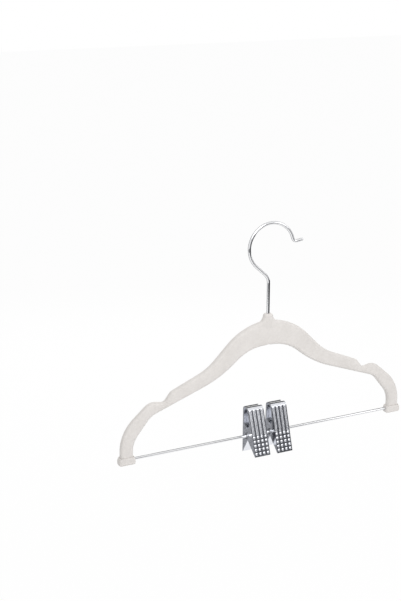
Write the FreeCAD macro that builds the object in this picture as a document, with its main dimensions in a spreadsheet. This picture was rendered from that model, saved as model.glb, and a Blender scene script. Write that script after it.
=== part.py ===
"""Skirt hanger: flocked body with a swivelling wire hook, a round bar and two sliding spring clips.

Frame: origin on the inside of the hook, where the rail bears, on the hook's swivel axis.
+Z up, +X along the hanger towards the hook's open side, -Y towards the viewer. Millimetres.
Every piece is drawn with Z counted from the bar's axis and is then lowered by rail_to_bar.
"""
import FreeCAD, Part
import math
import os
import re
import Sketcher

Vector = FreeCAD.Vector
X_AXIS = Vector(1, 0, 0)
Y_AXIS = Vector(0, 1, 0)
Z_AXIS = Vector(0, 0, 1)

SIZES = {
    # hook
    "rail_to_bar": 202,
    "hook_wire": 2.8,
    "hook_bend_radius": 22.6,
    "hook_bend_ahead": 2.5,
    "hook_bend_end": 15.5,
    "hook_corner_drop": 28.45,
    "hook_corner_radius": 11,
    "hook_tip_radius": 4,
    "hook_tip_turn": 83,
    "hook_tip_length": 5,
    "hook_head_wide": 3.8,
    "hook_head_high": 1.6,
    # neck of the body
    "body_thick": 6,
    "edge_round": 2.2,
    "collar_top": 119,
    "collar_wide": 9,
    "collar_thick": 6.8,
    "collar_foot": 106,
    "collar_round": 2.4,
    "bush_wall": 0.55,
    "hook_clearance": 0.06,
    "bush_clearance": 0.04,
    "bush_length": 9,
    "collar_ledge": 1.2,
    "ledge_clearance": 0.25,
    "washer_wide": 4,
    "washer_thick": 0.6,
    # upper outline of an arm: corners and the radii that round them
    "neck_top": 113,
    "flare_top_along": 3.2,
    "flare_rise": 5.2,
    "flare_top_radius": 4,
    "flare_foot_along": 7,
    "flare_foot_radius": 4.5,
    "crest_along": 28.5,
    "crest_high": 107,
    "crest_radius": 60,
    "elbow_along": 61.5,
    "elbow_high": 73.8,
    "elbow_radius": 50,
    "lip_from_end": 50.2,
    "lip_high": 58.4,
    "lip_radius": 5.5,
    "notch_from_end": 43.2,
    "notch_depth_left": 6.0,
    "notch_radius": 4.5,
    "shoulder_from_end": 29.7,
    "shoulder_high": 52.2,
    "shoulder_radius": 13,
    "arm_reach": 148.2,
    "arm_end_high": 26.2,
    "arm_end_radius": 40,
    # lower outline of an arm
    "arm_end_wide": 12.2,
    "heel_high": 16,
    "heel_radius": 22,
    "under_shoulder_from_end": 30.2,
    "under_shoulder_high": 38.6,
    "under_shoulder_radius": 18,
    "under_elbow_along": 50,
    "under_elbow_high": 63.2,
    "under_elbow_radius": 104,
    "under_crest_along": 18.9,
    "under_crest_high": 88.2,
    "under_crest_radius": 44,
    # end caps and bar
    "cap_wall": 1.8,
    "cap_face_wall": 1,
    "cap_above_bar": 3.2,
    "cap_below_bar": 4.3,
    "cap_flare": 1,
    "cap_flare_foot": 0.5,
    "cap_round": 1.6,
    "cap_recess": 1.7,
    "cap_clearance": 0.05,
    "bar_wide": 2.5,
    "bar_inset": 5,
    # clips
    "clip_along": 12,
    "left_lean": 10,
    "right_lean": 8,
    "clip_wide": 16,
    "sheet": 0.8,
    "side_gap": 0.2,
    "closed_angle": 10.4,
    "lip_flat": 0.9,
    "jaw_reach": 27,
    "tab_reach": 20.2,
    "bend_round": 3.6,
    "rim_deep": 2.4,
    "web_top": 10,
    "ear_radius": 4.4,
    "tube_clearance": 0.06,
    "tube_wall": 0.7,
    "tube_head_wide": 6.6,
    "tube_head_thick": 0.6,
    "tube_end_play": 0.1,
    "bump_radius": 1.7,
    "bump_rise": 0.6,
    "bump_spacing": 4.05,
    "rear_bump_spacing": 3.6,
    "rib_foot": 0.9,
    "rib_top_margin": 0.3,
    "dot_pitch": 3.85,
    "first_dot_below": 2,
    "pad_thick": 1.2,
    "pad_deep": 2.6,
    "pad_gap": 0.15,
    "pad_end_margin": 0.3,
    # torsion spring
    "spring_wire": 1.1,
    "spring_bore_gap": 0.4,
    "spring_turn_gap": 0.5,
    "spring_turns": 5,
    "spring_leg_angle": 40,
    "spring_leg_gap": 0.2,
}
BUMP_COLUMNS = 4
DOT_ROWS = 5

DERIVED = {
    # a jaw's section: the lip's end clears the pad, and the plate stands off the hinge by flat lip and bend
    "lip_end": "jaw_reach * tan(closed_angle * 1 deg) + pad_gap + pad_thick",
    "plate_offset": "lip_end + lip_flat + bend_round",
    "rib_top": "jaw_reach - bend_round - rib_top_margin",
}

doc = FreeCAD.newDocument("skirt_hanger")
sheet = doc.addObject("Spreadsheet::Sheet", "sizes")
for row, (alias, value) in enumerate({**SIZES, **DERIVED}.items(), start=1):
    sheet.set(f"A{row}", alias)
    sheet.set(f"B{row}", f"={value}")
    sheet.setAlias(f"B{row}", alias)
doc.recompute()

pieces = {}


def size(alias):
    """The number that the sheet holds under this alias."""
    return float(getattr(sheet, alias))


def cells(text):
    """An expression on the sheet's cells: every word of text that is an alias reads its cell."""
    known = {**SIZES, **DERIVED}
    return re.sub("[a-z_]+", lambda word: f"sizes.{word[0]}" if word[0] in known else word[0], text)


def bind(thing, prop, text):
    """Tie one property to an expression on the sheet."""
    thing.setExpression(prop, cells(text))


def lower(thing, along="0", turn=None):
    """Place a piece: lowered from the rail, moved along the bar and turned about the bar's axis."""
    bind(thing, "Placement.Base.x", along)
    bind(thing, "Placement.Base.z", "-rail_to_bar")
    if turn is not None:
        thing.Placement.Rotation = FreeCAD.Rotation(X_AXIS, 1)
        bind(thing, "Placement.Rotation.Angle", f"({turn}) * 1 deg")


def keep(label, thing):
    """Name a finished piece."""
    thing.Label = label
    pieces[label] = thing
    return thing


def new_body(label):
    return keep(label, doc.addObject("PartDesign::Body", label))


def new_sketch(body, plane, name, offset=None):
    """A sketch on one of the body's own origin planes, moved off it by an expression."""
    sketch = body.newObject("Sketcher::SketchObject", f"{body.Name}_{name}")
    support = next(f for f in body.Origin.OriginFeatures if f.Role == plane)
    sketch.AttachmentSupport = [(support, "")]
    sketch.MapMode = "FlatFace"
    if offset is not None:
        bind(sketch, "AttachmentOffset.Base.z", offset)
    return sketch


def fix_point(sketch, geometry, point, across, up):
    """Hold one point of a sketch at two expressions."""
    for kind, text in (("DistanceX", across), ("DistanceY", up)):
        number = sketch.addConstraint(Sketcher.Constraint(kind, geometry, point, 1.0))
        bind(sketch, f"Constraints[{number}]", text)


def add_polygon(sketch, corners):
    """A closed outline of straight lines, every corner held by expressions."""
    count = len(corners)
    first = sketch.GeometryCount
    turns = [2 * math.pi * n / count for n in range(count)]
    spots = [Vector(math.cos(turn), math.sin(turn), 0) for turn in turns]
    for number in range(count):
        sketch.addGeometry(Part.LineSegment(spots[number], spots[(number + 1) % count]), False)
    for number in range(count):
        following = first + (number + 1) % count
        sketch.addConstraint(Sketcher.Constraint("Coincident", first + number, 2, following, 1))
    for number, (across, up) in enumerate(corners):
        fix_point(sketch, first + number, 1, across, up)


def add_box(sketch, left, right, bottom, top):
    add_polygon(sketch, [(left, bottom), (right, bottom), (right, top), (left, top)])


def add_circle(sketch, across, up, radius):
    number = sketch.addGeometry(Part.Circle(Vector(0, 0, 0), Z_AXIS, 1.0), False)
    fix_point(sketch, number, 3, across, up)
    rule = sketch.addConstraint(Sketcher.Constraint("Radius", number, 1.0))
    bind(sketch, f"Constraints[{rule}]", radius)


def pad(body, sketch, length, both_ways=True):
    feature = body.newObject("PartDesign::Pad", f"{sketch.Name}_pad")
    feature.Profile = sketch
    bind(feature, "Length", length)
    feature.Midplane = both_ways
    return feature


def pocket(body, sketch, length=None, both_ways=True, backwards=False):
    """Cut a sketch out of its body: to a length, or right through when none is given."""
    feature = body.newObject("PartDesign::Pocket", f"{sketch.Name}_pocket")
    feature.Profile = sketch
    if length is None:
        feature.Type = "ThroughAll"
    else:
        bind(feature, "Length", length)
    feature.Midplane = both_ways
    feature.Reversed = backwards
    return feature


def round_edges(body, wanted, radius, name):
    """Fillet the edges of the body's present shape that a test picks out."""
    doc.recompute()
    base = body.Tip
    names = [f"Edge{n}" for n, edge in enumerate(base.Shape.Edges, start=1) if wanted(edge)]
    feature = body.newObject("PartDesign::Fillet", f"{body.Name}_{name}")
    feature.Base = (base, names)
    bind(feature, "Radius", radius)
    return feature


def cylinder(name, radius, height, base_z, along="0"):
    """An upright cylinder on the swivel axis."""
    solid = doc.addObject("Part::Cylinder", name)
    bind(solid, "Radius", radius)
    bind(solid, "Height", height)
    bind(solid, "Placement.Base.x", along)
    bind(solid, "Placement.Base.z", base_z)
    return solid


def rounded_path(rows):
    """Edges in the XZ plane along straight runs, each inner corner rounded to its own radius."""
    spots = [Vector(x, 0, z) for x, z, _ in rows]
    edges = []
    here = spots[0]
    for number in range(1, len(rows) - 1):
        corner = spots[number]
        radius = rows[number][2]
        back = (spots[number - 1] - corner).normalize()
        ahead = (spots[number + 1] - corner).normalize()
        half_turn = (math.pi - back.getAngle(ahead)) / 2
        reach = radius * math.tan(half_turn)
        start = corner + back * reach
        end = corner + ahead * reach
        inward = (back + ahead).normalize()
        middle = corner + inward * (radius / math.cos(half_turn) - radius)
        if (start - here).Length > 1e-6:
            edges.append(Part.LineSegment(here, start).toShape())
        edges.append(Part.Arc(start, middle, end).toShape())
        here = end
    edges.append(Part.LineSegment(here, spots[-1]).toShape())
    return edges


def neck_corners():
    """The arm's outline beside the collar, which flares out to the line from the neck to the crest."""
    neck = size("neck_top")
    foot_along = size("flare_foot_along")
    foot_high = neck + (size("crest_high") - neck) * foot_along / size("crest_along")
    flare_high = neck + size("flare_rise")
    return [(0, flare_high, 0),
            (size("flare_top_along"), flare_high, size("flare_top_radius")),
            (foot_along, foot_high, size("flare_foot_radius"))]


def arm_corners():
    """One arm's outline from the collar over the top, round the end and back under to the middle."""
    reach = size("arm_reach")
    inner = reach - size("arm_end_wide")
    foot = size("cap_above_bar") - size("cap_recess")

    def corner(spot):
        from_end = f"{spot}_from_end"
        along = reach - size(from_end) if from_end in SIZES else size(f"{spot}_along")
        return along, size(f"{spot}_high"), size(f"{spot}_radius")

    under = [corner(f"under_{spot}") for spot in ("shoulder", "elbow", "crest")]
    outer, middle = under[:2]
    slope = (outer[1] - middle[1]) / (outer[0] - middle[0])
    notch_along = reach - size("notch_from_end")
    notch_high = middle[1] + slope * (notch_along - middle[0]) + size("notch_depth_left")
    notch = (notch_along, notch_high, size("notch_radius"))
    over = [corner("crest"), corner("elbow"), corner("lip"), notch, corner("shoulder")]
    top = neck_corners() + over
    top += [(reach, size("arm_end_high"), size("arm_end_radius")), (reach, foot, 0)]
    bottom = [(inner, foot, 0), (inner, size("heel_high"), size("heel_radius"))] + under
    bottom += [(0, size("under_crest_high"), 0)]
    return top, bottom, inner, foot


def make_body():
    """Flocked moulding: two arms in one curved outline, its long edges rounded, and the hook's collar."""
    top, bottom, inner, foot = arm_corners()
    reach = size("arm_reach")
    right = rounded_path(top)
    right.append(Part.LineSegment(Vector(reach, 0, foot), Vector(inner, 0, foot)).toShape())
    right += rounded_path(bottom)
    left = [edge.mirror(Vector(0, 0, 0), X_AXIS) for edge in right]
    outline = Part.Wire(Part.__sortEdges__(right + left))
    thick = size("body_thick")
    slab = Part.Face(outline)
    slab.translate(Vector(0, -thick / 2, 0))
    slab = slab.extrude(Vector(0, thick, 0))
    long_edges = [e for e in slab.Edges if e.BoundBox.YLength < 1e-6 and e.BoundBox.ZMax > foot + 1e-3]
    blank = doc.addObject("Part::Feature", "body_blank")
    blank.Shape = slab.makeFillet(size("edge_round"), long_edges)

    collar = doc.addObject("Part::Box", "collar_block")
    bind(collar, "Length", "collar_wide")
    bind(collar, "Width", "collar_thick")
    bind(collar, "Height", "collar_top - collar_foot")
    bind(collar, "Placement.Base.x", "-collar_wide / 2")
    bind(collar, "Placement.Base.y", "-collar_thick / 2")
    bind(collar, "Placement.Base.z", "collar_foot")
    doc.recompute()
    soft = doc.addObject("Part::Fillet", "collar")
    soft.Base = collar
    radius = size("collar_round")
    soft.Edges = [(n, radius, radius) for n, edge in enumerate(collar.Shape.Edges, start=1)
                  if edge.BoundBox.ZMax > size("collar_foot") + 1e-3]

    joined = doc.addObject("Part::Fuse", "body_and_collar")
    joined.Base = blank
    joined.Tool = soft
    bush_radius = "hook_wire / 2 + hook_clearance + bush_wall + bush_clearance"
    bore_foot = "(under_crest_high - edge_round)"
    bore = cylinder("bush_bore", bush_radius, f"collar_top - collar_ledge - {bore_foot}", bore_foot)
    mouth = cylinder("stem_hole", "hook_wire / 2 + ledge_clearance",
                     "2 * collar_ledge + 1", "collar_top - collar_ledge - 1")
    hollow = doc.addObject("Part::Fuse", "bore_and_stem_hole")
    hollow.Base = bore
    hollow.Tool = mouth
    body = doc.addObject("Part::Cut", "hanger_body")
    body.Base = joined
    body.Tool = hollow
    lower(keep("hanger_body", body))


BUSH_FOOT = "(collar_top - collar_ledge - bush_length)"


def make_bush():
    """Plastic sleeve that the hook's stem turns in, pushed up the bore against the collar's ledge."""
    body = new_body("hook_bush")
    outline = new_sketch(body, "XY_Plane", "ring", BUSH_FOOT)
    add_circle(outline, "0", "0", "hook_wire / 2 + hook_clearance + bush_wall")
    add_circle(outline, "0", "0", "hook_wire / 2 + hook_clearance")
    pad(body, outline, "bush_length", both_ways=False)
    lower(body)


def make_washer():
    """Steel washer between the bush and the hook's head."""
    body = new_body("hook_washer")
    outline = new_sketch(body, "XY_Plane", "ring", f"{BUSH_FOOT} - washer_thick")
    add_circle(outline, "0", "0", "washer_wide / 2")
    add_circle(outline, "0", "0", "hook_wire / 2 + hook_clearance")
    pad(body, outline, "washer_thick", both_ways=False)
    lower(body)


def hook_path():
    """The wire's centre line: stem, corner, run to the bend, bend over the rail and outturned tip."""
    bend = size("hook_bend_radius")
    ahead = size("hook_bend_ahead")
    inside = bend - size("hook_wire") / 2
    centre = Vector(ahead, 0, size("rail_to_bar") - math.sqrt(inside ** 2 - ahead ** 2))
    corner = Vector(0, 0, centre.z - size("hook_corner_drop"))
    to_centre = centre - corner
    rise = math.atan2(to_centre.z, to_centre.x)
    run_angle = rise + math.asin(bend / to_centre.Length)
    run = math.sqrt(to_centre.Length ** 2 - bend ** 2)
    touch = corner + Vector(math.cos(run_angle), 0, math.sin(run_angle)) * run

    def on_bend(angle):
        return centre + Vector(math.cos(angle), 0, math.sin(angle)) * bend

    bush_foot = size("collar_top") - size("collar_ledge") - size("bush_length")
    stem_foot = Vector(0, 0, bush_foot - size("washer_thick"))
    edges = rounded_path([(stem_foot.x, stem_foot.z, 0),
                          (corner.x, corner.z, size("hook_corner_radius")),
                          (touch.x, touch.z, 0)])
    start = math.atan2(touch.z - centre.z, touch.x - centre.x) % (2 * math.pi)
    end = math.radians(size("hook_bend_end"))
    edges.append(Part.Arc(touch, on_bend((start + end) / 2), on_bend(end)).toShape())
    tip_radius = size("hook_tip_radius")
    turn = math.radians(size("hook_tip_turn"))
    tip_centre = centre + Vector(math.cos(end), 0, math.sin(end)) * (bend + tip_radius)

    def on_tip(share):
        angle = end + math.pi + turn * share
        return tip_centre + Vector(math.cos(angle), 0, math.sin(angle)) * tip_radius

    edges.append(Part.Arc(on_tip(0), on_tip(0.5), on_tip(1)).toShape())
    leaving = Vector(math.cos(end + turn - math.pi / 2), 0, math.sin(end + turn - math.pi / 2))
    tip_end = on_tip(1) + leaving * size("hook_tip_length")
    edges.append(Part.LineSegment(on_tip(1), tip_end).toShape())
    return edges, stem_foot, tip_end


def make_hook():
    """Chrome wire hook, its lower end upset into a head under the washer and its tip rounded off."""
    edges, stem_foot, tip_end = hook_path()
    path = doc.addObject("Part::Feature", "hook_line")
    path.Shape = Part.Wire(edges)
    section = doc.addObject("Part::Circle", "hook_section")
    bind(section, "Radius", "hook_wire / 2")
    section.Placement.Base = stem_foot
    wire = doc.addObject("Part::Sweep", "hook_sweep")
    wire.Sections = [section]
    wire.Spine = (path, [f"Edge{n}" for n in range(1, len(edges) + 1)])
    wire.Solid = True
    head = cylinder("hook_head", "hook_head_wide / 2", "hook_head_high",
                    f"{BUSH_FOOT} - washer_thick - hook_head_high")
    tip = doc.addObject("Part::Sphere", "hook_tip")
    bind(tip, "Radius", "hook_wire / 2")
    tip.Placement.Base = tip_end
    hook = doc.addObject("Part::MultiFuse", "hook")
    hook.Shapes = [wire, head, tip]
    lower(keep("hook", hook))


def make_cap(label, side):
    """Flocked cap over an arm's end, flared downwards, with a recess for the arm and a socket for the bar."""
    body = new_body(label)
    near = f"{side} * (arm_reach - arm_end_wide - cap_wall)"
    far = f"{side} * (arm_reach + cap_wall)"
    block = new_sketch(body, "XZ_Plane", "block")
    add_polygon(block, [
        (near, "-cap_below_bar"),
        (far, "-cap_below_bar"),
        (far, "cap_flare_foot"),
        (f"{far} - {side} * cap_flare", "cap_above_bar"),
        (f"{near} + {side} * cap_flare", "cap_above_bar"),
        (near, "cap_flare_foot"),
    ])
    pad(body, block, "body_thick + 2 * cap_face_wall")

    def is_rounded(edge):
        box = edge.BoundBox
        level = box.ZLength < 1e-4
        return not level or box.ZMin < size("cap_flare_foot") - 1e-3

    round_edges(body, is_rounded, "cap_round", "soft")
    recess = new_sketch(body, "XY_Plane", "recess", "cap_above_bar - cap_recess")
    add_box(recess,
            f"{side} * (arm_reach - arm_end_wide - cap_clearance)", f"{side} * (arm_reach + cap_clearance)",
            "-body_thick / 2 - cap_clearance", "body_thick / 2 + cap_clearance")
    pocket(body, recess, "cap_recess + 1", both_ways=False, backwards=True)
    socket = new_sketch(body, "YZ_Plane", "socket", near)
    add_circle(socket, "0", "0", "bar_wide / 2 + cap_clearance")
    pocket(body, socket, "arm_end_wide + cap_wall - bar_inset + cap_clearance",
           both_ways=False, backwards=side > 0)
    lower(body)


def make_bar():
    """Round bar between the caps' sockets."""
    bar = doc.addObject("Part::Cylinder", "trouser_bar")
    half = "(arm_reach - bar_inset)"
    bind(bar, "Radius", "bar_wide / 2")
    bind(bar, "Height", f"2 * {half}")
    bar.Placement.Rotation = FreeCAD.Rotation(Y_AXIS, 90)
    lower(keep("trouser_bar", bar), f"-{half}")


TUBE_BORE = "(bar_wide / 2 + tube_clearance)"
TUBE_OUTSIDE = "(bar_wide / 2 + tube_clearance + tube_wall)"
REAR_WIDE = "(clip_wide - 2 * sheet - 2 * side_gap)"


def make_tube(label, along):
    """Hollow rivet: the clip's hinge pin, its ends rolled over outside the ears."""
    body = new_body(label)
    outline = new_sketch(body, "YZ_Plane", "ring")
    add_circle(outline, "0", "0", TUBE_OUTSIDE)
    pad(body, outline, "clip_wide + 2 * tube_end_play")
    for side, name in ((-1, "left_head"), (1, "right_head")):
        start = f"{side} * (clip_wide / 2 + tube_end_play + tube_head_thick / 2)"
        head = new_sketch(body, "YZ_Plane", name, start)
        add_circle(head, "0", "0", "tube_head_wide / 2")
        pad(body, head, "tube_head_thick")
    bore = new_sketch(body, "YZ_Plane", "bore")
    add_circle(bore, "0", "0", TUBE_BORE)
    pocket(body, bore)
    lower(body, along)


def bump(name, kind, along, side, height):
    """A ball or a round rod sunk into a plate, so that bump_rise of it stands proud of the outer face."""
    solid = doc.addObject(kind, name)
    bind(solid, "Radius", "bump_radius")
    bind(solid, "Placement.Base.x", along)
    bind(solid, "Placement.Base.y", f"{side} * (plate_offset - bump_radius + bump_rise)")
    bind(solid, "Placement.Base.z", height)
    return solid


def plate_bumps(label, side, wide, spacing):
    """Pressed relief of a jaw: round-ended ribs on the jaw half and rows of dots on the finger tab."""
    solids = []
    for column in range(BUMP_COLUMNS):
        along = f"{column - (BUMP_COLUMNS - 1) / 2} * {spacing}"
        rib = bump(f"{label}_rib_{column}", "Part::Cylinder", along, side, "rib_foot")
        bind(rib, "Height", "rib_top - rib_foot")
        solids.append(rib)
        solids.append(bump(f"{label}_rib_foot_{column}", "Part::Sphere", along, side, "rib_foot"))
        solids.append(bump(f"{label}_rib_top_{column}", "Part::Sphere", along, side, "rib_top"))
        for row in range(DOT_ROWS):
            height = f"-first_dot_below - {row} * dot_pitch"
            solids.append(bump(f"{label}_dot_{column}_{row}", "Part::Sphere", along, side, height))
    whole = doc.addObject("Part::MultiFuse", f"{label}_whole_bumps")
    whole.Shapes = solids
    shell = doc.addObject("Part::Box", f"{label}_shell")
    bind(shell, "Length", wide)
    bind(shell, "Width", "sheet / 2 + 2 * bump_rise")
    bind(shell, "Height", "tab_reach + jaw_reach")
    bind(shell, "Placement.Base.x", f"-{wide} / 2")
    bind(shell, "Placement.Base.y",
         "plate_offset - sheet / 2" if side > 0 else "-plate_offset - 2 * bump_rise")
    bind(shell, "Placement.Base.z", "-tab_reach")
    proud = doc.addObject("Part::Common", f"{label}_bumps")
    proud.Base = whole
    proud.Tool = shell
    return proud


def make_jaw(label, side, wide, spacing, along, lean):
    """Stamped jaw: ribbed plate, lip turned in at the top, side walls, ears on the tube and a dotted tab.

    It is drawn with its plate upright, and leans in to its partner by closed_angle.
    """
    body = doc.addObject("PartDesign::Body", f"{label}_sheet")

    def across(text):
        return f"{side} * ({text})"

    walls = new_sketch(body, "YZ_Plane", "walls")
    add_polygon(walls, [
        (across("plate_offset"), "-tab_reach"),
        (across("plate_offset"), "jaw_reach"),
        (across("lip_end"), "jaw_reach"),
        (across("lip_end"), "jaw_reach - sheet"),
        (across("plate_offset - rim_deep"), "jaw_reach - sheet"),
        (across("plate_offset - rim_deep"), "web_top"),
        ("0", "ear_radius"),
        ("0", "-ear_radius"),
        (across("plate_offset - sheet"), "-tab_reach"),
    ])
    pad(body, walls, wide)
    ear = new_sketch(body, "YZ_Plane", "ear")
    add_circle(ear, "0", "0", "ear_radius")
    pad(body, ear, wide)
    inside = new_sketch(body, "YZ_Plane", "inside")
    add_box(inside, across("-ear_radius - 1"), across("plate_offset - sheet"),
            "-tab_reach - 1", "jaw_reach - sheet")
    pocket(body, inside, f"{wide} - 2 * sheet")
    hole = new_sketch(body, "YZ_Plane", "hole")
    add_circle(hole, "0", "0", f"{TUBE_OUTSIDE} + tube_clearance")
    pocket(body, hole)

    def is_bend(edge, depth):
        """Whether an edge lies where plate and lip meet, this deep under the outer faces."""
        box = edge.BoundBox
        straight = box.ZLength < 1e-4 and box.YLength < 1e-4
        at_top = abs(box.ZMin - size("jaw_reach") + depth) < 1e-4
        return straight and at_top and abs(abs(box.YMin) - size("plate_offset") + depth) < 1e-4

    round_edges(body, lambda edge: is_bend(edge, size("sheet")), "bend_round - sheet", "inner_bend")
    round_edges(body, lambda edge: is_bend(edge, 0), "bend_round", "outer_bend")
    jaw = doc.addObject("Part::Fuse", label)
    jaw.Base = body
    jaw.Tool = plate_bumps(label, side, wide, spacing)
    lower(keep(label, jaw), along, f"{side} * closed_angle - {lean}")


def make_pad(label, side, along, lean):
    """Soft strip on a lip's end and under its flat part, its face on the plane where the jaws meet."""
    body = new_body(label)

    def across(text):
        return f"{side} * ({text})"

    def face(height):
        return across(f"({height}) * tan(closed_angle * 1 deg) + pad_gap / cos(closed_angle * 1 deg)")

    outline = new_sketch(body, "YZ_Plane", "section")
    add_polygon(outline, [
        (across("lip_end"), "jaw_reach"),
        (face("jaw_reach"), "jaw_reach"),
        (face("jaw_reach - pad_deep"), "jaw_reach - pad_deep"),
        (across("lip_end + lip_flat"), "jaw_reach - pad_deep"),
        (across("lip_end + lip_flat"), "jaw_reach - sheet"),
        (across("lip_end"), "jaw_reach - sheet"),
    ])
    pad(body, outline, f"{REAR_WIDE} - 2 * sheet - 2 * pad_end_margin")
    lower(body, along, f"{side} * closed_angle - {lean}")


def biarc(start, start_way, end, end_way):
    """Two tangent arcs from one point and direction to another."""
    gap = end - start
    both = start_way + end_way
    spread = 2 * (1 - start_way.dot(end_way))
    reach = (math.sqrt(gap.dot(both) ** 2 + spread * gap.dot(gap)) - gap.dot(both)) / spread
    first_corner = start + start_way * reach
    second_corner = end - end_way * reach
    joint = (first_corner + second_corner) * 0.5
    return [arc_by_corner(start, first_corner, joint), arc_by_corner(joint, second_corner, end)]


def arc_by_corner(start, corner, end):
    """The arc between two points whose end tangents meet at a corner."""
    half_chord = (end - start).Length / 2
    middle_chord = (start + end) * 0.5
    height = (corner - middle_chord).Length
    leg = math.hypot(half_chord, height)
    sagitta = half_chord * (leg - half_chord) / height
    middle = middle_chord + (corner - middle_chord).normalize() * sagitta
    return Part.Arc(start, middle, end).toShape()


def spring_shape():
    """Torsion spring round the tube: turns along X and two legs that press the finger tabs apart."""
    wire = size("spring_wire")
    tube_outside = size("bar_wide") / 2 + size("tube_clearance") + size("tube_wall")
    radius = tube_outside + size("spring_bore_gap") + wire / 2
    pitch = wire + size("spring_turn_gap")
    leg_angle = math.radians(size("spring_leg_angle"))
    quarters = int(round(size("spring_turns"))) * 4 + 2
    first = leg_angle
    last = math.pi - leg_angle + (quarters - 2) * math.pi / 2
    step = (last - first) / quarters
    climb = pitch / (2 * math.pi)
    slant = math.hypot(radius, climb)

    def spot(angle):
        along = climb * (angle - (first + last) / 2)
        return Vector(along, radius * math.cos(angle), radius * math.sin(angle))

    def way(angle):
        return Vector(climb, -radius * math.sin(angle), radius * math.cos(angle)) * (1 / slant)

    closed = math.radians(size("closed_angle"))
    room = size("plate_offset") - size("sheet") - wire / 2 - size("spring_leg_gap")
    towards_tab = Vector(0, -math.cos(closed), math.sin(closed))
    leg = (room - spot(last).dot(towards_tab)) / way(last).dot(towards_tab)
    rear_end = spot(first) - way(first) * leg
    front_end = spot(last) + way(last) * leg
    edges = [Part.LineSegment(rear_end, spot(first)).toShape()]
    for number in range(quarters):
        here = first + number * step
        edges += biarc(spot(here), way(here), spot(here + step), way(here + step))
    edges.append(Part.LineSegment(spot(last), front_end).toShape())
    path = Part.Wire(edges)
    section = Part.Wire([Part.Circle(rear_end, way(first), wire / 2).toShape()])
    solid = path.makePipeShell([section], True, False)
    report_spring(spot, first, last, wire)
    return solid


def report_spring(spot, first, last, wire):
    """Print the least gap between one turn and the next, measured on points of the centre line."""
    samples_per_turn = 72
    count = int((last - first) / (2 * math.pi) * samples_per_turn)
    points = [spot(first + n * 2 * math.pi / samples_per_turn) for n in range(count + 1)]
    least = min((points[a] - points[b]).Length
                for a in range(len(points)) for b in range(a + samples_per_turn // 2, len(points)))
    print(f"spring: least gap between turns {least - wire:.2f} mm")


def make_spring(label, along, lean):
    spring = doc.addObject("Part::Feature", label)
    spring.Shape = spring_shape()
    lower(keep(label, spring), along, f"-{lean}")


def make_clip(name, along, lean):
    """One clip: hinge tube, wide front jaw, narrower rear jaw, their pads and the spring."""
    make_tube(f"{name}_clip_tube", along)
    make_jaw(f"{name}_front_jaw", -1, "clip_wide", "bump_spacing", along, lean)
    make_jaw(f"{name}_rear_jaw", 1, REAR_WIDE, "rear_bump_spacing", along, lean)
    make_pad(f"{name}_front_pad", -1, along, lean)
    make_pad(f"{name}_rear_pad", 1, along, lean)
    make_spring(f"{name}_spring", along, lean)


def check_document():
    """Stop if any object failed or any piece has no valid solid."""
    for thing in doc.Objects:
        if "Invalid" in thing.State or "Error" in thing.State:
            raise RuntimeError(f"{thing.Name} failed: {thing.State}")
    for label, thing in pieces.items():
        shape = thing.Shape
        if shape.isNull() or not shape.isValid() or len(shape.Solids) != 1:
            raise RuntimeError(f"{label} is not one valid solid")


make_body()
make_bush()
make_washer()
make_hook()
make_cap("left_end_cap", -1)
make_cap("right_end_cap", 1)
make_bar()
make_clip("left", "-clip_along", "left_lean")
make_clip("right", "clip_along", "right_lean")
doc.recompute()
check_document()
os.makedirs("parts", exist_ok=True)
for label, thing in pieces.items():
    thing.Shape.exportStep(f"parts/{label}.step")
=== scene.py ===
"""Skirt hanger: flocked body, polished wire hook and bar, and two stamped clips, over the CAD frame."""
import math

import bpy
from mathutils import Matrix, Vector


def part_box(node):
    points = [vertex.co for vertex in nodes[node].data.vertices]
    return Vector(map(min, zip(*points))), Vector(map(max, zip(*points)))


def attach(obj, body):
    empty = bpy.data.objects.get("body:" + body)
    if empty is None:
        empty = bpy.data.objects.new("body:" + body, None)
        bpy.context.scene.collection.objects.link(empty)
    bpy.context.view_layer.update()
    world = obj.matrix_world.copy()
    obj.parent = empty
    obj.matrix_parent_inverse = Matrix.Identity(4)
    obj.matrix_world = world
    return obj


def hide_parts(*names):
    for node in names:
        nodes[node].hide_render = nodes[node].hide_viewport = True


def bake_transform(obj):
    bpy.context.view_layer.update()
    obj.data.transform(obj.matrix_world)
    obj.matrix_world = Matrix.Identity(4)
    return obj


MM = 0.001

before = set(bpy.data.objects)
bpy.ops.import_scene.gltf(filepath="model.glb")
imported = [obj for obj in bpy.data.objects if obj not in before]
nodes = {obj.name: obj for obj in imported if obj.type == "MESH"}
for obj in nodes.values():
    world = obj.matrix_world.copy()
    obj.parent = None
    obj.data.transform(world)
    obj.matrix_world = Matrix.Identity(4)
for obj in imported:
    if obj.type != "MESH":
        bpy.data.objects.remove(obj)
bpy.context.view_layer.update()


# Shader building

# places of the colour sockets on a Mix node
MIX_FIRST = 6
MIX_SECOND = 7
MIX_RESULT = 2


class Paint:
    """A shader socket that Python arithmetic turns into Math nodes."""

    def __init__(self, tree, socket):
        self.tree = tree
        self.socket = socket

    def maths(self, operation, first, second):
        made = add_node(self.tree, "ShaderNodeMath", {"operation": operation}, {0: first, 1: second})
        return Paint(self.tree, made.outputs[0])

    def __add__(self, other):
        return self.maths("ADD", self, other)

    def __radd__(self, other):
        return self.maths("ADD", other, self)

    def __mul__(self, other):
        return self.maths("MULTIPLY", self, other)

    def __rmul__(self, other):
        return self.maths("MULTIPLY", other, self)


def add_node(tree, kind, settings=None, inputs=None):
    """One node of a kind, its settings made first, then its sockets given values or links."""
    made = tree.nodes.new(kind)
    for name, value in (settings or {}).items():
        setattr(made, name, value)
    for key, value in (inputs or {}).items():
        if isinstance(value, Paint):
            tree.links.new(value.socket, made.inputs[key])
        else:
            made.inputs[key].default_value = value
    return made


def out(tree, made, name=0):
    return Paint(tree, made.outputs[name])


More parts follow.
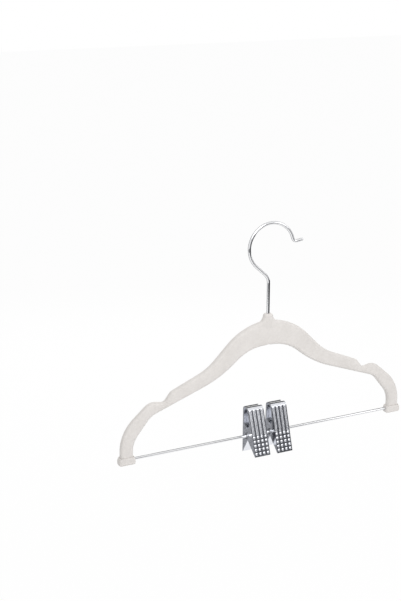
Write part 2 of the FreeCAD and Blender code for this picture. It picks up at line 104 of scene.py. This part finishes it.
def noise(tree, where, scale, detail=2.0, rough=0.5):
    made = add_node(tree, "ShaderNodeTexNoise", None,
                    {"Vector": where, "Scale": scale, "Detail": detail, "Roughness": rough})
    return out(tree, made, "Fac")


def blend_colours(tree, factor, first, second):
    """A colour between two, mixed by the Mix node's own colour sockets."""
    made = add_node(tree, "ShaderNodeMix", {"data_type": "RGBA"},
                    {"Factor": factor, MIX_FIRST: (*first, 1.0), MIX_SECOND: (*second, 1.0)})
    return Paint(tree, made.outputs[MIX_RESULT])


def bump(tree, height, strength, distance):
    made = add_node(tree, "ShaderNodeBump", None,
                    {"Height": height, "Strength": strength, "Distance": distance})
    return out(tree, made, "Normal")


def finish(name, constants):
    """A new material with one Principled shader, its constants set on the shader's own sockets."""
    material = bpy.data.materials.new(name)
    material.use_nodes = True
    tree = material.node_tree
    tree.nodes.clear()
    shader = add_node(tree, "ShaderNodeBsdfPrincipled", None, constants)
    surface = add_node(tree, "ShaderNodeOutputMaterial")
    tree.links.new(shader.outputs[0], surface.inputs["Surface"])
    where = out(tree, add_node(tree, "ShaderNodeTexCoord"), "Object")
    return material, tree, shader, where


def wire_up(tree, shader, sockets):
    for name, value in sockets.items():
        tree.links.new(value.socket, shader.inputs[name])


def flock_finish():
    """Ivory velvet flock: short dense fibres, a soft nap and faint uneven shade."""
    material, tree, shader, where = finish("ivory_flock", {"Sheen Weight": 0.25, "Sheen Roughness": 0.45,
                                                           "Specular IOR Level": 0.15})
    fibre = noise(tree, where, 1900.0, 3.0, 0.7)
    nap = noise(tree, where, 420.0, 2.0)
    shade = noise(tree, where, 55.0, 3.0)
    mixed = shade * 0.3 + nap * 0.25 + fibre * 0.45
    colour = blend_colours(tree, mixed, (0.58, 0.55, 0.525), (0.92, 0.89, 0.865))
    wire_up(tree, shader, {
        "Base Color": colour,
        "Roughness": 0.84 + fibre * 0.14,
        "Normal": bump(tree, fibre * 0.7 + nap * 0.3, 0.6, 0.25 * MM),
    })
    return material


def chrome_finish(name, colour, dull, grain_scale, ripple):
    """Bright plating: fine polishing grain in its gloss and a slight ripple in its reflections."""
    material, tree, shader, where = finish(name, {"Metallic": 1.0})
    grain = noise(tree, where, grain_scale, 4.0, 0.6)
    cloud = noise(tree, where, 160.0, 2.0)
    darker = tuple(0.9 * part for part in colour)
    wire_up(tree, shader, {
        "Base Color": blend_colours(tree, cloud, darker, colour),
        "Roughness": dull + grain * 0.08,
        "Normal": bump(tree, cloud * 0.8 + grain * 0.2, ripple, 0.2 * MM),
    })
    return material


def steel_finish():
    """Plain drawn steel: greyer, with drawing marks along X."""
    material, tree, shader, where = finish("drawn_steel", {"Metallic": 1.0})
    stretched = add_node(tree, "ShaderNodeMapping", None, {"Vector": where, "Scale": (0.12, 1.0, 1.0)})
    marks = noise(tree, out(tree, stretched), 3000.0, 3.0)
    wire_up(tree, shader, {
        "Base Color": blend_colours(tree, marks, (0.36, 0.37, 0.39), (0.52, 0.53, 0.55)),
        "Roughness": 0.24 + marks * 0.16,
        "Normal": bump(tree, marks, 0.15, 0.05 * MM),
    })
    return material


def moulded_finish(name, colour, gloss, grain):
    """Moulded plastic or rubber with a fine matt grain."""
    material, tree, shader, where = finish(name, {"Specular IOR Level": 0.4})
    speck = noise(tree, where, 1800.0, 2.0)
    cloud = noise(tree, where, 120.0, 2.0)
    darker = tuple(0.88 * part for part in colour)
    wire_up(tree, shader, {
        "Base Color": blend_colours(tree, cloud, darker, colour),
        "Roughness": gloss + speck * 0.15,
        "Normal": bump(tree, speck, grain, 0.1 * MM),
    })
    return material


IVORY_FLOCK = flock_finish()
HOOK_CHROME = chrome_finish("hook_chrome", (0.88, 0.885, 0.90), 0.05, 900.0, 0.03)
PLATE_CHROME = chrome_finish("plate_chrome", (0.87, 0.885, 0.93), 0.10, 1500.0, 0.05)
DRAWN_STEEL = steel_finish()
WHITE_BUSH = moulded_finish("white_bush", (0.78, 0.77, 0.75), 0.4, 0.1)
GREY_GRIP = moulded_finish("grey_grip", (0.55, 0.55, 0.54), 0.5, 0.3)
DARK_CARD = moulded_finish("dark_card", (0.03, 0.031, 0.038), 0.7, 0.0)
SLATE_CARD = moulded_finish("slate_card", (0.075, 0.078, 0.088), 0.7, 0.0)
GREY_CARD = moulded_finish("grey_card", (0.34, 0.345, 0.36), 0.7, 0.0)
PALE_CARD = moulded_finish("pale_card", (0.72, 0.72, 0.73), 0.7, 0.0)


# Modelling

def use(piece):
    """Make one object the only selected and the active one."""
    bpy.ops.object.select_all(action="DESELECT")
    piece.select_set(True)
    bpy.context.view_layer.objects.active = piece


def paint(piece, material):
    piece.data.materials.clear()
    piece.data.materials.append(material)


def apply_modifier(piece, kind, name, **settings):
    """Add a modifier, set it up and apply it."""
    use(piece)
    added = piece.modifiers.new(name, kind)
    for key, value in settings.items():
        setattr(added, key, value)
    bpy.ops.object.modifier_apply(modifier=name)


def copy_of(node_name, name):
    """A merged copy of a CAD node's mesh, as an object of its own at the origin."""
    source = nodes[node_name]
    piece = bpy.data.objects.new(name, source.data.copy())
    bpy.context.scene.collection.objects.link(piece)
    use(piece)
    bpy.ops.object.mode_set(mode="EDIT")
    bpy.ops.mesh.select_all(action="SELECT")
    bpy.ops.mesh.remove_doubles(threshold=0.002 * MM)
    bpy.ops.object.mode_set(mode="OBJECT")
    return piece


def stand_for(piece, node_name, body, material):
    """Let a piece take a CAD node's place on its body."""
    paint(piece, material)
    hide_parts(node_name)
    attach(piece, body)


def shade_by_angle(piece, degrees):
    use(piece)
    bpy.ops.object.shade_smooth_by_angle(angle=math.radians(degrees))


def soften_corners(piece, radius):
    """Join the flat triangles of a piece to whole faces and round its corners."""
    use(piece)
    bpy.ops.object.mode_set(mode="EDIT")
    bpy.ops.mesh.select_all(action="SELECT")
    bpy.ops.mesh.dissolve_limited(angle_limit=math.radians(1))
    bpy.ops.object.mode_set(mode="OBJECT")
    apply_modifier(piece, "BEVEL", "soft_corners", width=radius, segments=3, limit_method="ANGLE")
    shade_by_angle(piece, 40)


def flocked(node_name, name, voxel, rounds):
    """A flocked piece: the moulding's own shape, remeshed, and softened as a coat of fibres softens it."""
    piece = copy_of(node_name, name)
    apply_modifier(piece, "REMESH", "even_skin", mode="VOXEL", voxel_size=voxel)
    softened = piece.vertex_groups.new(name="soft")
    head_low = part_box("hook")[0][2]
    points = piece.data.vertices
    outside = [p.index for p in points if math.hypot(p.co.x, p.co.y) > BORE_CLEAR or p.co.z < head_low]
    softened.add(outside, 1.0, "REPLACE")
    apply_modifier(piece, "SMOOTH", "soften", factor=0.5, iterations=rounds, vertex_group="soft")
    use(piece)
    bpy.ops.object.shade_smooth()
    return piece


# above the hook's head, points this near the hook's axis belong to its bore and are not softened
BORE_CLEAR = 2.6 * MM
BODY_SKIN = 0.6 * MM
BODY_ROUNDS = 12
FOOT_SKIN = 0.4 * MM
FOOT_ROUNDS = 18
body_piece = flocked("hanger_body", "flocked_body", BODY_SKIN, BODY_ROUNDS)
stand_for(body_piece, "hanger_body", "hanger_frame", IVORY_FLOCK)
for side in ("left", "right"):
    foot = flocked(f"{side}_end_cap", f"{side}_flocked_foot", FOOT_SKIN, FOOT_ROUNDS)
    stand_for(foot, f"{side}_end_cap", "hanger_frame", IVORY_FLOCK)

for name in ("hook", "trouser_bar"):
    paint(nodes[name], HOOK_CHROME)
paint(nodes["hook_bush"], WHITE_BUSH)
paint(nodes["hook_washer"], DRAWN_STEEL)

GRIP_ROUND = 0.35 * MM
CLIP_ALONG = 12 * MM
for side, along in (("left", -CLIP_ALONG), ("right", CLIP_ALONG)):
    for half in ("front", "rear"):
        paint(nodes[f"{side}_{half}_jaw"], PLATE_CHROME)
        grip = copy_of(f"{side}_{half}_pad", f"{side}_{half}_grip")
        soften_corners(grip, GRIP_ROUND)
        stand_for(grip, f"{side}_{half}_pad", f"{side}_{half}", GREY_GRIP)
    paint(nodes[f"{side}_clip_tube"], DRAWN_STEEL)
    spring = copy_of(f"{side}_spring", f"{side}_torsion_spring")
    shade_by_angle(spring, 40)
    paint(spring, DRAWN_STEEL)
    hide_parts(f"{side}_spring")
    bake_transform(spring)


# Studio

def make_floor():
    """Pale floor well below the hanger, near white to the camera, that still takes a soft shadow."""
    bpy.ops.object.select_all(action="DESELECT")
    bpy.ops.mesh.primitive_plane_add(size=12.0, location=(0, 0, FLOOR_HEIGHT))
    floor = bpy.context.object
    floor.name = "pale_floor"
    material = bpy.data.materials.new("pale_floor")
    material.use_nodes = True
    tree = material.node_tree
    tree.nodes.clear()
    diffuse = add_node(tree, "ShaderNodeBsdfDiffuse", None, {"Color": (0.85, 0.85, 0.85, 1.0)})
    glow = add_node(tree, "ShaderNodeEmission", None, {"Color": (1.0, 1.0, 1.0, 1.0), "Strength": 1.0})
    ray = add_node(tree, "ShaderNodeLightPath")
    seen = out(tree, ray, "Is Camera Ray") + out(tree, ray, "Is Glossy Ray")
    mix = add_node(tree, "ShaderNodeMixShader", None, {0: seen * 0.96})
    tree.links.new(diffuse.outputs[0], mix.inputs[1])
    tree.links.new(glow.outputs[0], mix.inputs[2])
    surface = add_node(tree, "ShaderNodeOutputMaterial")
    tree.links.new(mix.outputs[0], surface.inputs["Surface"])
    floor.data.materials.append(material)


def make_world():
    """White to the camera, and a pale room for light and reflections."""
    world = bpy.data.worlds.new("studio")
    bpy.context.scene.world = world
    world.use_nodes = True
    tree = world.node_tree
    tree.nodes.clear()
    ray = add_node(tree, "ShaderNodeLightPath")
    strength = ROOM_LIGHT + out(tree, ray, "Is Glossy Ray") * (ROOM_GLOSS - ROOM_LIGHT)
    room_light = add_node(tree, "ShaderNodeBackground", None,
                          {"Color": (0.92, 0.92, 0.92, 1.0), "Strength": strength})
    white = add_node(tree, "ShaderNodeBackground", None,
                     {"Color": (1.0, 1.0, 1.0, 1.0), "Strength": 1.0})
    mix = add_node(tree, "ShaderNodeMixShader", None, {0: out(tree, ray, "Is Camera Ray")})
    tree.links.new(room_light.outputs[0], mix.inputs[1])
    tree.links.new(white.outputs[0], mix.inputs[2])
    surface = add_node(tree, "ShaderNodeOutputWorld")
    tree.links.new(mix.outputs[0], surface.inputs["Surface"])


def make_softbox(name, place, aim, wide, power, mirrored=True):
    lamp = bpy.data.lights.new(name, "AREA")
    lamp.shape = "SQUARE"
    lamp.size = wide
    lamp.energy = power
    holder = bpy.data.objects.new(name, lamp)
    bpy.context.scene.collection.objects.link(holder)
    holder.location = place
    holder.rotation_euler = (Vector(aim) - Vector(place)).to_track_quat("-Z", "Y").to_euler()
    holder.visible_glossy = mirrored


def make_card(name, place, turn, wide, high, material):
    """A card that only polished metal shows, as the dark or pale lines along the wire and the clips."""
    bpy.ops.object.select_all(action="DESELECT")
    upright = (math.radians(90), 0, math.radians(turn))
    bpy.ops.mesh.primitive_plane_add(size=1.0, location=place, rotation=upright)
    card = bpy.context.object
    card.name = name
    card.scale = (wide, high, 1.0)
    bpy.ops.object.transform_apply(location=True, rotation=True, scale=True)
    card.data.materials.append(material)
    card.visible_camera = False
    card.visible_diffuse = False
    card.visible_shadow = False


def beside_photo(degrees, away, height):
    """A place at this distance, turned to the right of the photograph's viewpoint."""
    turn = math.radians(PHOTO_TURN + degrees)
    return away * math.sin(turn), -away * math.cos(turn), height


def make_camera():
    """The photograph's view, fitted to the hanger's symmetry."""
    lens = bpy.data.cameras.new("photo_view")
    lens.sensor_width = FILM_WIDE
    lens.sensor_fit = "AUTO"
    lens.lens = FOCAL_PIXELS / PHOTO_HIGH * FILM_WIDE
    holder = bpy.data.objects.new("photo_view", lens)
    bpy.context.scene.collection.objects.link(holder)
    holder.location = PHOTO_PLACE
    holder.rotation_euler = (math.radians(90 - PHOTO_TILT), 0, math.radians(PHOTO_TURN))
    bpy.context.scene.camera = holder


FLOOR_HEIGHT = -0.42
ROOM_LIGHT = 0.63
ROOM_GLOSS = 1.05
FILM_WIDE = 36.0
FOCAL_PIXELS = 1150
PHOTO_HIGH = 601
PHOTO_PLACE = (-0.4853, -0.8782, 0.2466)
PHOTO_TURN = -25.39
PHOTO_TILT = 17.6
HANGER_MIDDLE = (0, 0, -0.11)
make_floor()
make_world()
CARD_AWAY = 0.6
make_card("hook_dark_card", beside_photo(55, CARD_AWAY, -0.28), PHOTO_TURN + 55, 1.4, 0.23, DARK_CARD)
make_card("side_dark_card", beside_photo(110, CARD_AWAY, -0.28), PHOTO_TURN + 110, 0.85, 0.26, DARK_CARD)
make_card("side_pale_card", beside_photo(98, CARD_AWAY, -0.02), PHOTO_TURN + 98, 0.7, 0.24, PALE_CARD)
make_card("clip_slate_card", beside_photo(53, CARD_AWAY, -0.07), PHOTO_TURN + 53, 0.17, 0.19, SLATE_CARD)
make_card("front_grey_card", beside_photo(19, CARD_AWAY, -0.05), PHOTO_TURN + 19, 0.36, 0.36, GREY_CARD)
make_card("left_dark_card", beside_photo(-30, CARD_AWAY, -0.20), PHOTO_TURN - 30, 0.6, 0.13, DARK_CARD)
make_card("rear_dark_card", (0.20, 0.25, -0.105), 0.0, 0.44, 0.61, DARK_CARD)
make_card("rear_grey_card", (-0.25, 0.25, -0.105), 0.0, 0.44, 0.61, GREY_CARD)
make_softbox("overhead_softbox", (-0.3, -0.7, 0.6), HANGER_MIDDLE, 0.8, 5.0)
make_softbox("side_softbox", (0.9, -0.7, 0.25), HANGER_MIDDLE, 0.7, 2.6)
make_softbox("rear_softbox", (0.3, 0.9, 0.25), HANGER_MIDDLE, 0.8, 4.4, mirrored=False)
make_camera()
bpy.context.scene.view_settings.view_transform = "Standard"
